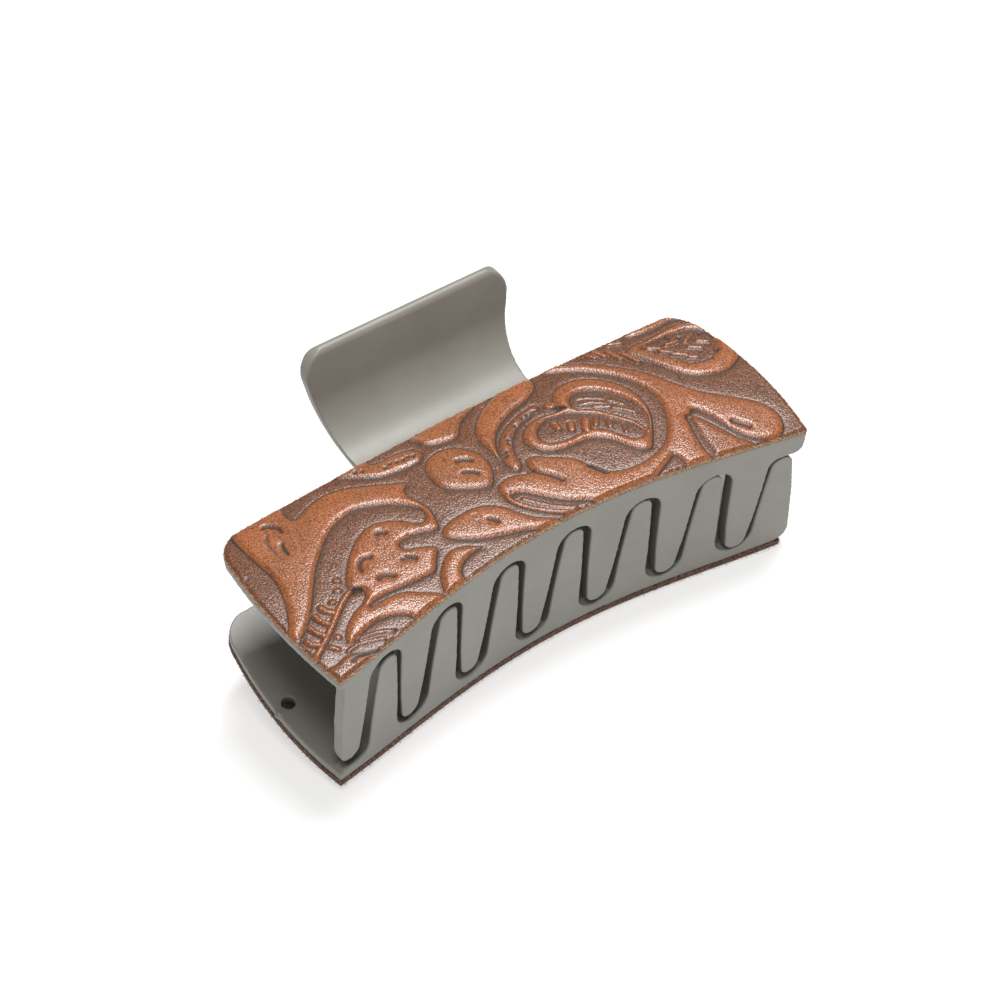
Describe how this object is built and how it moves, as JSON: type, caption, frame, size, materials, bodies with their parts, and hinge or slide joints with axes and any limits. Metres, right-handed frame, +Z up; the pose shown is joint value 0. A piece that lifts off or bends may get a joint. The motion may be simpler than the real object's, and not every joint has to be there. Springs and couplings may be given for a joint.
{
  "type": "claw hair clip",
  "caption": "Claw hair clip with curved plastic jaws, interlocking teeth, finger tabs and a sprung hinge, each jaw faced with floral tooled leather.",
  "frame": {"origin": "middle of the clip's box, on the surface that it lies on", "axes": "+X along the clip's length, -Y towards the teeth, +Y towards the finger tabs, +Z up as it lies"},
  "size_m": [0.1096, 0.0658, 0.0598],
  "materials": {
    "plastic": "matt moulded grey-green",
    "leather": "tooled vegetable-tanned leather, tan on the raised shapes and dark brown in the ground",
    "steel": "drawn wire"
  },
  "bodies": {
    "lower": {"lower_jaw": "plastic", "lower_leather": "leather", "hinge_pin": "steel", "spring": "steel"},
    "upper": {"upper_jaw": "plastic", "upper_leather": "leather"}
  },
  "joints": [
    {"name": "jaw_hinge", "type": "hinge", "parent": "lower", "child": "upper", "pos_m": [-0.00035, 0.00594, 0.02528], "axis": [-1, 0, 0], "range_deg": [0, 72], "stiffness_Nm_per_rad": 0.15, "springref_deg": -28.65, "deforming": ["spring"]}
  ]
}
